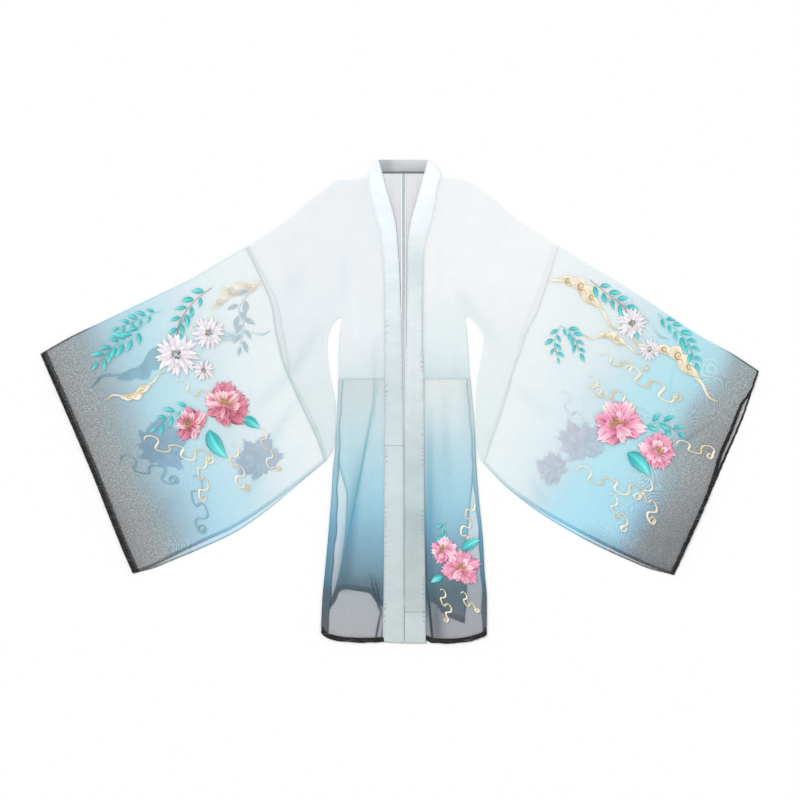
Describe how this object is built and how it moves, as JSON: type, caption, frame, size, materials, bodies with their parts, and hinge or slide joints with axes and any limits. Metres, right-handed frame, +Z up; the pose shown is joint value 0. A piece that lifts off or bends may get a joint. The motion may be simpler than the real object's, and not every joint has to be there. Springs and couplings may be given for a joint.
{
  "type": "hanfu robe",
  "caption": "Open-front sheer robe with a straight collar band, wide sleeves dyed from white through blue to black, and a waist seam, laid flat with its front up.",
  "frame": {"origin": "the middle of the rectangle that the laid robe covers, on the surface it lies on", "axes": "+X towards the viewer's right sleeve, +Y towards the neck, +Z up out of the surface, away from the back panels"},
  "size_m": [1.7955, 1.2076, 0.0077],
  "materials": {
    "bodice_organza": "sheer white organza with a faint sheen, fading to pale mint",
    "skirt_organza": "sheer organza dyed from pale blue at the waist through teal blue to grey at the hem",
    "sleeve_organza": "sheer organza dyed from white through sky blue to charcoal at the cuff, with embroidery",
    "dark_hem": "the same sheer cloth folded narrow and stitched, near black",
    "collar_satin": "folded satin band, pale grey blue with a soft sheen, whiter near the neck"
  },
  "bodies": {
    "root": {"back_bodice_left": "bodice_organza", "back_bodice_right": "bodice_organza", "back_skirt_left": "skirt_organza", "back_skirt_right": "skirt_organza", "band_left": "collar_satin", "band_lower_left": "collar_satin", "band_lower_right": "collar_satin", "band_right": "collar_satin", "collar_back": "collar_satin", "cuff_hem_back_left": "dark_hem", "cuff_hem_back_right": "dark_hem", "cuff_hem_front_left": "dark_hem", "cuff_hem_front_right": "dark_hem", "front_bodice_left": "bodice_organza", "front_bodice_right": "bodice_organza", "front_skirt_left": "skirt_organza", "front_skirt_right": "skirt_organza", "hem_back_left": "dark_hem", "hem_back_right": "dark_hem", "hem_front_left": "dark_hem", "hem_front_right": "dark_hem", "sleeve_back_left": "sleeve_organza", "sleeve_back_right": "sleeve_organza", "sleeve_front_left": "sleeve_organza", "sleeve_front_right": "sleeve_organza"}
  },
  "joints": []
}
